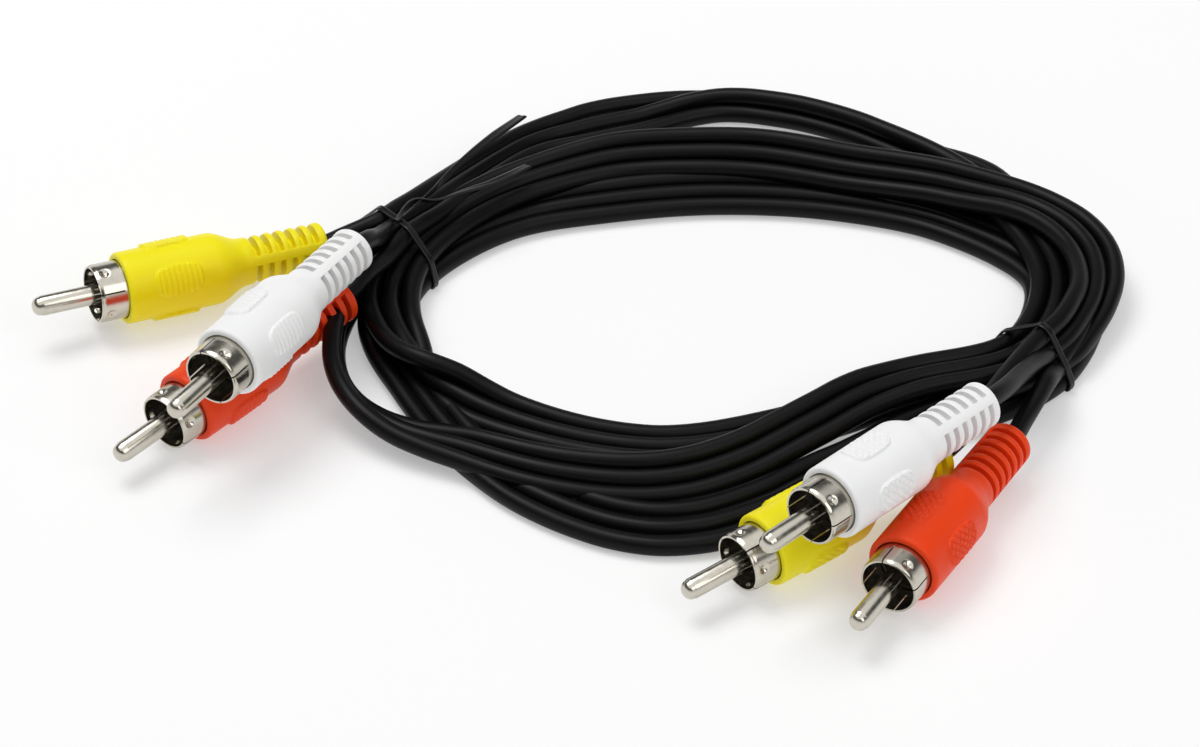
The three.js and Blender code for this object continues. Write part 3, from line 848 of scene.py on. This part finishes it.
def tie_end(rows):
    """Rings of a loose end through its rows."""
    line = through([Vector(row[0]) - CENTRE for row in rows], TIE_TAIL_STEP)
    outs = []
    widths = []
    for i, place in enumerate(line):
        share = i / (len(line) - 1) * (len(rows) - 1)
        k = min(int(share), len(rows) - 2)
        f = share - k
        turn = math.radians(rows[k][2] + (rows[k + 1][2] - rows[k][2]) * f)
        widths.append(TIE_TAIL_WIDTH * (rows[k][1] + (rows[k + 1][1] - rows[k][1]) * f))
        along = (line[min(i + 1, len(line) - 1)] - line[max(i - 1, 0)]).normalized()
        level = Vector((0, 0, 1)).cross(along).normalized()
        outs.append(along.cross(level) * math.cos(turn) + level * math.sin(turn))
    return strip_rings(line, outs, widths)


def make_ties(looks, strands):
    for node, (station, shift, slant, corners) in TIES.items():
        places, outs = tie_outline(station, shift, slant, corners, strands)
        rings = strip_rings(places, outs, [TIE_WIDTH] * len(places), loop=True)
        parts = [rings_mesh(node + "_ring", rings, loop=True)]
        parts += [rings_mesh(node + "_end", tie_end(rows)) for rows in TIE_ENDS[node]]
        tie = joined(node + "_strip", parts)
        finish_piece(tie, looks["tie"], node)


def joined(name, parts):
    """One mesh object from several."""
    points = []
    faces = []
    for part in parts:
        first = len(points)
        points += [v.co.copy() for v in part.data.vertices]
        faces += [[first + k for k in face.vertices] for face in part.data.polygons]
        bpy.data.objects.remove(part)
    return mesh_object(name, points, faces, sharp=50)


# Surroundings

def grey(level):
    return (level, level, level, 1)


def make_stage():
    """White floor, matt and faintly lit from within, which keeps soft shadows."""
    mesh = bpy.data.meshes.new("floor")
    corners = [(x * FLOOR_REACH, y * FLOOR_REACH, 0) for x, y in ((-1, -1), (1, -1), (1, 1), (-1, 1))]
    mesh.from_pydata(corners, [], [(0, 1, 2, 3)])
    floor = bpy.data.objects.new("floor", mesh)
    floor.location.z = -FLOOR_DROP
    bpy.context.collection.objects.link(floor)
    material = bpy.data.materials.new("floor")
    material.use_nodes = True
    tree = material.node_tree
    tree.nodes.clear()
    output = tree.nodes.new("ShaderNodeOutputMaterial")
    matt = tree.nodes.new("ShaderNodeBsdfDiffuse")
    matt.inputs["Color"].default_value = grey(FLOOR_GREY)
    lift = tree.nodes.new("ShaderNodeEmission")
    lift.inputs["Color"].default_value = grey(1)
    lift.inputs["Strength"].default_value = FLOOR_GLOW
    both = tree.nodes.new("ShaderNodeAddShader")
    tree.links.new(matt.outputs[0], both.inputs[0])
    tree.links.new(lift.outputs[0], both.inputs[1])
    tree.links.new(both.outputs[0], output.inputs["Surface"])
    mesh.materials.append(material)


def make_lights():
    for name, (place, size, watts) in LIGHTS.items():
        data = bpy.data.lights.new(name, "AREA")
        data.shape = "DISK"
        data.size = size
        data.energy = watts
        lamp = bpy.data.objects.new(name, data)
        lamp.location = place
        lamp.rotation_euler = (-Vector(place)).to_track_quat("-Z", "Y").to_euler()
        bpy.context.collection.objects.link(lamp)
    scene = bpy.context.scene
    scene.view_settings.view_transform = "Standard"
    scene.world = make_sky()


def make_sky():
    """Pale at the horizon, dim above it and bright overhead, as in a studio lit from above."""
    world = bpy.data.worlds.new("studio")
    world.use_nodes = True
    tree = world.node_tree
    where = tree.nodes.new("ShaderNodeTexCoord")
    parts = tree.nodes.new("ShaderNodeSeparateXYZ")
    levels = tree.nodes.new("ShaderNodeValToRGB")
    ramp = levels.color_ramp
    ramp.elements[0].position = 0.0
    ramp.elements[0].color = grey(SKY[0][1])
    ramp.elements[1].position = 1.0
    ramp.elements[1].color = grey(SKY[-1][1])
    for height, level in SKY[1:-1]:
        ramp.elements.new(height).color = grey(level)
    tree.links.new(where.outputs["Generated"], parts.inputs["Vector"])
    tree.links.new(parts.outputs["Z"], levels.inputs["Fac"])
    tree.links.new(levels.outputs["Color"], tree.nodes["Background"].inputs["Color"])
    tree.nodes["Background"].inputs["Strength"].default_value = 1.0
    return world


main()
